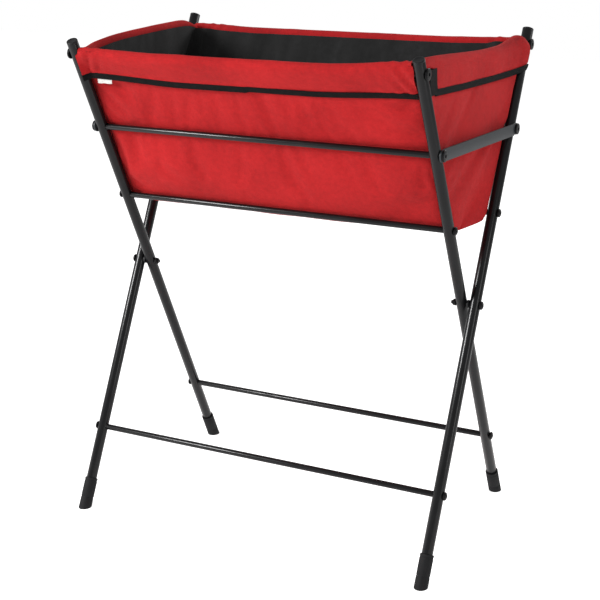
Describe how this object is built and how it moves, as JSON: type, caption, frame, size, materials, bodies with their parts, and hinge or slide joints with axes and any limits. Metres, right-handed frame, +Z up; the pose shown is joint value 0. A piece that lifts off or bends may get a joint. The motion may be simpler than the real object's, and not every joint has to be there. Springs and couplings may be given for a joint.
{
  "type": "folding garden tool bag",
  "caption": "Open-topped fabric trough bag with reinforced hems, hung between the rails of a folding scissor stand of round steel tube with hooked brace bars and rubber feet.",
  "frame": {"origin": "centre of the stand's footprint, on the floor", "axes": "+Z up; +X along the rails, towards the stand's right side; +Y from the inner frame's top, the front, to the rear"},
  "size_m": [0.6688, 0.4274, 0.8256],
  "materials": {
    "frame_paint": "satin black powder coat",
    "black_bolts": "black coated steel, slightly glossy",
    "brace_metal": "dark grey coated flat bar with a soft sheen",
    "cap_plastic": "moulded black plastic",
    "foot_rubber": "matt black rubber",
    "bag_cloth": "woven red polyester with a faint sheen",
    "bag_lining": "black coated woven lining",
    "binding_tape": "black ribbed binding tape",
    "tag_ribbon": "plain white woven ribbon"
  },
  "bodies": {
    "inner_frame": {"inner_leg_left": "frame_paint", "inner_leg_right": "frame_paint", "inner_foot_left": "foot_rubber", "inner_foot_right": "foot_rubber", "inner_cap_left": "cap_plastic", "inner_cap_right": "cap_plastic", "inner_top_bolt_left": "black_bolts", "inner_top_bolt_right": "black_bolts", "inner_mid_bolt_left": "black_bolts", "inner_mid_bolt_right": "black_bolts", "inner_low_bolt_left": "black_bolts", "inner_low_bolt_right": "black_bolts", "inner_bottom_bolt_left": "black_bolts", "inner_bottom_bolt_right": "black_bolts", "inner_top_rail": "frame_paint", "inner_mid_rail": "frame_paint", "inner_low_rail": "frame_paint", "inner_bottom_rail": "frame_paint", "axle_bolt_left": "black_bolts", "axle_bolt_right": "black_bolts", "axle_spacer_left": "cap_plastic", "axle_spacer_right": "cap_plastic", "axle_nut_left": "black_bolts", "axle_nut_right": "black_bolts", "bag_front_wall": "bag_cloth", "bag_front_hem": "bag_cloth", "bag_front_tape": "binding_tape", "care_tag": "tag_ribbon", "bag_floor": "bag_lining", "bag_left_end": "bag_cloth", "bag_left_hem": "bag_cloth", "bag_left_tape": "binding_tape", "bag_right_end": "bag_cloth", "bag_right_hem": "bag_cloth", "bag_right_tape": "binding_tape"},
    "outer_frame": {"outer_leg_left": "frame_paint", "outer_leg_right": "frame_paint", "outer_foot_left": "foot_rubber", "outer_foot_right": "foot_rubber", "outer_cap_left": "cap_plastic", "outer_cap_right": "cap_plastic", "outer_top_bolt_left": "black_bolts", "outer_top_bolt_right": "black_bolts", "outer_mid_bolt_left": "black_bolts", "outer_mid_bolt_right": "black_bolts", "outer_low_bolt_left": "black_bolts", "outer_low_bolt_right": "black_bolts", "outer_bottom_bolt_left": "black_bolts", "outer_bottom_bolt_right": "black_bolts", "outer_top_rail": "frame_paint", "outer_mid_rail": "frame_paint", "outer_low_rail": "frame_paint", "outer_bottom_rail": "frame_paint", "bag_rear_wall": "bag_cloth", "bag_rear_hem": "bag_cloth", "bag_rear_tape": "binding_tape"},
    "brace_left": {"brace_bar_left": "brace_metal"},
    "brace_right": {"brace_bar_right": "brace_metal"}
  },
  "joints": [
    {"name": "fold", "type": "hinge", "parent": "inner_frame", "child": "outer_frame", "pos_m": [0, -0.0021, 0.405], "axis": [1, 0, 0], "range_deg": [0, 45], "deforming": ["bag_floor", "bag_left_end", "bag_left_hem", "bag_left_tape", "bag_right_end", "bag_right_hem", "bag_right_tape"]},
    {"name": "brace_left_swing", "type": "hinge", "parent": "inner_frame", "child": "brace_left", "pos_m": [-0.3068, -0.13236, 0.664], "axis": [1, 0, 0], "range_deg": [0, 126]},
    {"name": "brace_right_swing", "type": "hinge", "parent": "inner_frame", "child": "brace_right", "pos_m": [0.3068, -0.13236, 0.664], "axis": [1, 0, 0], "range_deg": [0, 126]}
  ],
  "couplings": [
    {"joint": "brace_left_swing", "follows": "fold", "ratio": 2.8},
    {"joint": "brace_right_swing", "follows": "fold", "ratio": 2.8}
  ]
}
